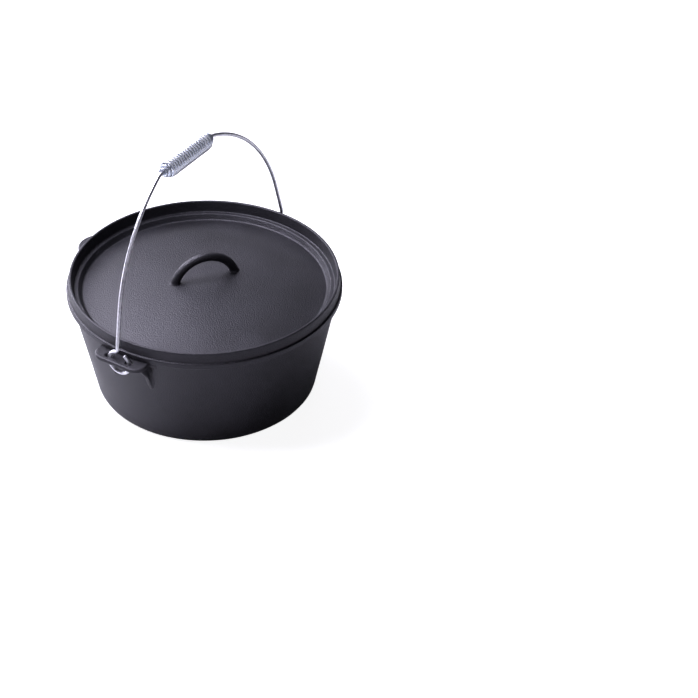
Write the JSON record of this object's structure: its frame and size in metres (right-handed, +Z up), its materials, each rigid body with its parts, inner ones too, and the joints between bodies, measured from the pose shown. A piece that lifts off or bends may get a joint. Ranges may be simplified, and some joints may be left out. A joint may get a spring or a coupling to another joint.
{
  "type": "camp oven",
  "caption": "Round cast iron camp oven with tapered wall, dished lid with a loop handle, drilled ears, a tipping lug and a wire bail with a coil grip.",
  "frame": {"origin": "centre of the flat base, on the surface the pot stands on", "axes": "+X along the line through the two bail ears, +Y toward the plain tipping lug, +Z up"},
  "size_m": [0.349, 0.3355, 0.3173],
  "materials": {
    "pot": "seasoned, fine pebbled, satin",
    "lid": "seasoned, fine pebbled, satin",
    "bail": "bright zinc plated wire",
    "coil_grip": "bright zinc plated coil"
  },
  "bodies": {
    "pot": {"pot": "pot"},
    "lid": {"lid": "lid"},
    "bail": {"bail": "bail"},
    "grip": {"coil_grip": "coil_grip"}
  },
  "joints": [
    {"name": "lid_lift", "type": "slide", "parent": "pot", "child": "lid", "axis": [0, 0, 1], "range_m": [0, 0.016]},
    {"name": "bail_hinge", "type": "hinge", "parent": "pot", "child": "bail", "pos_m": [0, 0, 0.1239], "axis": [1, 0, 0], "range_deg": [-64, 65]},
    {"name": "grip_spin", "type": "hinge", "parent": "bail", "child": "grip", "pos_m": [0, 0.01117, 0.30656], "axis": [1, 0, 0], "continuous": true}
  ]
}
